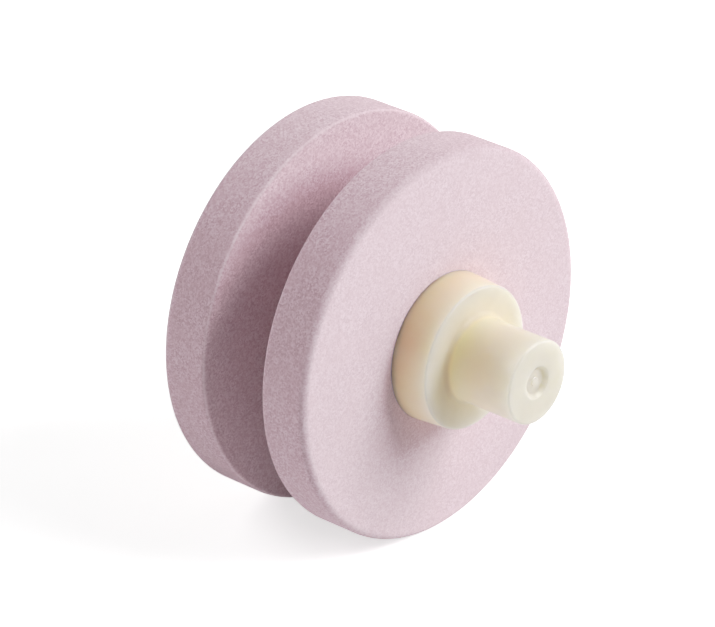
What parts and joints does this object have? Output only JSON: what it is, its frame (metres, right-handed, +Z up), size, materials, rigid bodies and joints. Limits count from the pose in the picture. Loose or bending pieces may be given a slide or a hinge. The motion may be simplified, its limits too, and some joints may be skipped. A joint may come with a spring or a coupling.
{
  "type": "sharpening wheel",
  "caption": "Sharpening wheel: round ceramic discs side by side on a plastic core that turns on an axle with a collar and a round journal at each end.",
  "frame": {"origin": "the wheel's centre: on the axle's axis, midway between the discs", "axes": "+Y along the axle towards the pressed-on end cap, -Y towards the near journal, +Z up"},
  "size_m": [0.032, 0.0336, 0.032],
  "materials": {
    "ceramic": "matte fired, fine open grain",
    "hub_plastic": "satin moulded, translucent ivory"
  },
  "bodies": {
    "axle": {"axle": "hub_plastic", "end_cap": "hub_plastic"},
    "wheel_pair": {"hub_core": "hub_plastic", "near_disc": "ceramic", "far_disc": "ceramic"}
  },
  "joints": [
    {"name": "wheel_spin", "type": "hinge", "parent": "axle", "child": "wheel_pair", "pos_m": [0, 0, 0], "axis": [0, 1, 0], "continuous": true}
  ]
}
